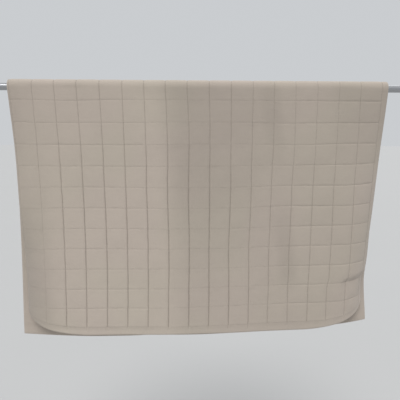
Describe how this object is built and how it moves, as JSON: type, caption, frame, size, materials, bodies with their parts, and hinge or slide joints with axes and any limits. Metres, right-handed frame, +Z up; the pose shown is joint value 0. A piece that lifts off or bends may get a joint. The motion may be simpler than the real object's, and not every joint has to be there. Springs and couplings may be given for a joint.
{
  "type": "quilted bedspread on a rod",
  "caption": "Low-loft square-quilted bedspread in taupe cloth, folded over a plain round metal rod so that it hangs as a front and a back drop.",
  "frame": {"origin": "centre of the rod's left end face", "axes": "+X along the rod to its right end, +Y to the back drop, +Z up"},
  "size_m": [2, 0.1342, 1.2797],
  "materials": {
    "fabric": "matte brushed cloth with fine quilting seams",
    "steel": "satin steel tube"
  },
  "bodies": {
    "root": {"bedspread": "fabric", "rod": "steel"}
  },
  "joints": []
}
